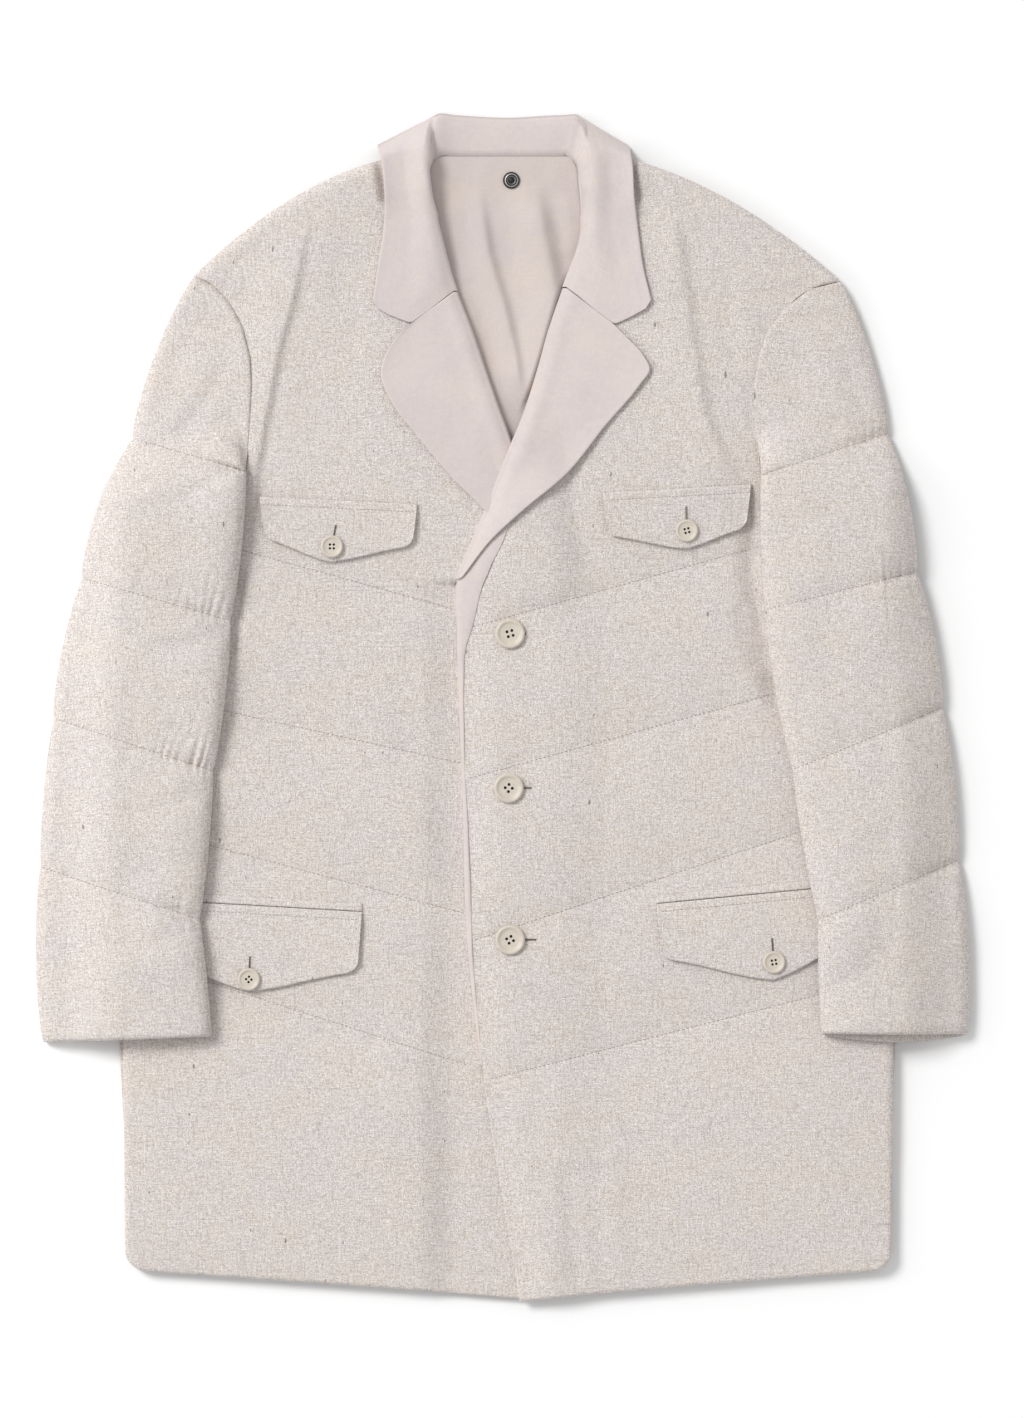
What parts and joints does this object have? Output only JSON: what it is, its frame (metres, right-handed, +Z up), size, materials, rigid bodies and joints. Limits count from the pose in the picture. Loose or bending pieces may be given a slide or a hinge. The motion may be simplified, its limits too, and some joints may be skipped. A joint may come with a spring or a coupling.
{
  "type": "padded tweed jacket laid flat",
  "caption": "Lightly padded, quilted jacket in slubbed pale tweed with plain linen collar, lapels and front facing, buttoned and laid flat on its back.",
  "frame": {"origin": "on the surface it lies on, under the middle of the jacket's outline", "axes": "+X to the wearer's left, +Y from the hem to the collar, +Z up off the surface"},
  "size_m": [0.7092, 0.902, 0.0376],
  "materials": {
    "tweed": "slubbed woven tweed, matte",
    "linen": "smooth plain weave, matte",
    "button": "soft sheen",
    "snap": "satin black"
  },
  "bodies": {
    "root": {"back": "tweed", "back_lining": "linen", "front_left": "tweed", "front_right": "tweed", "lapel_left": "linen", "lapel_right": "linen", "facing_edge": "linen", "collar": "linen", "chest_flap_left": "tweed", "chest_flap_right": "tweed", "hip_flap_left": "tweed", "hip_jet_left": "tweed", "hip_flap_right": "tweed", "hip_jet_right": "tweed", "sleeve_under_left": "tweed", "sleeve_top_left": "tweed", "sleeve_under_right": "tweed", "sleeve_top_right": "tweed", "front_button_1": "button", "front_button_2": "button", "front_button_3": "button", "chest_button_left": "button", "chest_button_right": "button", "hip_button_left": "button", "hip_button_right": "button", "neck_snap": "snap"}
  },
  "joints": []
}
